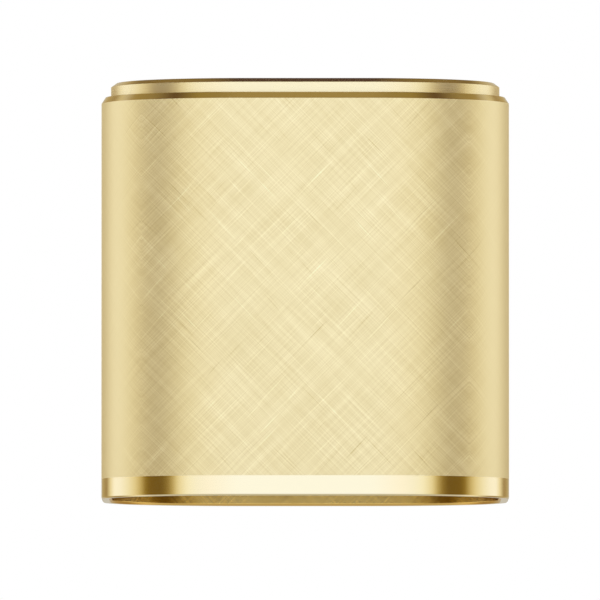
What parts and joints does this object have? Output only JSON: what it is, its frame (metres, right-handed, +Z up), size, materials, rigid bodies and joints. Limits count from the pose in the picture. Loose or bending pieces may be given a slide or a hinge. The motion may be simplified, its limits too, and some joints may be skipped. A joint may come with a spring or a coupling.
{
  "type": "soldering tip cleaner",
  "caption": "Rounded-square brass bench housing with a stepped neck, holding a lift-out round cup of curled brass wool that soldering tips are wiped in.",
  "frame": {"origin": "middle of the bottom rim, where the housing stands on the bench", "axes": "+Z up along the housing's symmetry axis, towards the neck; -Y is one of the four equal flat sides, taken as the front"},
  "size_m": [0.06, 0.06, 0.0612],
  "materials": {
    "hatched_brass": "pale brass, sides and bore finely cross-hatched, edges and foot band polished",
    "satin_brass": "pale brass, fine satin with polished chamfers",
    "black_rubber": "matt black rubber",
    "grey_silicone": "matt grey silicone",
    "drawn_brass": "drawn brass with faint rings, dull inside",
    "wool_brass": "bright curled ribbon with fine turning marks",
    "blackened_steel": "blackened, satin",
    "turned_brass": "plain turned",
    "screw_steel": "dark zinc, satin"
  },
  "bodies": {
    "housing": {"outer_sleeve": "hatched_brass", "top_collar": "satin_brass", "collar_o_ring": "black_rubber", "cup_seat_ring": "grey_silicone", "base_plate": "blackened_steel", "standoff_1": "turned_brass", "standoff_2": "turned_brass", "standoff_3": "turned_brass", "standoff_4": "turned_brass", "base_screw_1": "screw_steel", "base_screw_2": "screw_steel", "base_screw_3": "screw_steel", "base_screw_4": "screw_steel"},
    "cup": {"inner_cup": "drawn_brass"},
    "wool": {"brass_wool": "wool_brass"}
  },
  "joints": [
    {"name": "cup_lift", "type": "slide", "parent": "housing", "child": "cup", "axis": [0, 0, 1], "range_m": [0, 0.06]},
    {"name": "wool_lift", "type": "slide", "parent": "cup", "child": "wool", "axis": [0, 0, 1], "range_m": [0, 0.055]}
  ]
}
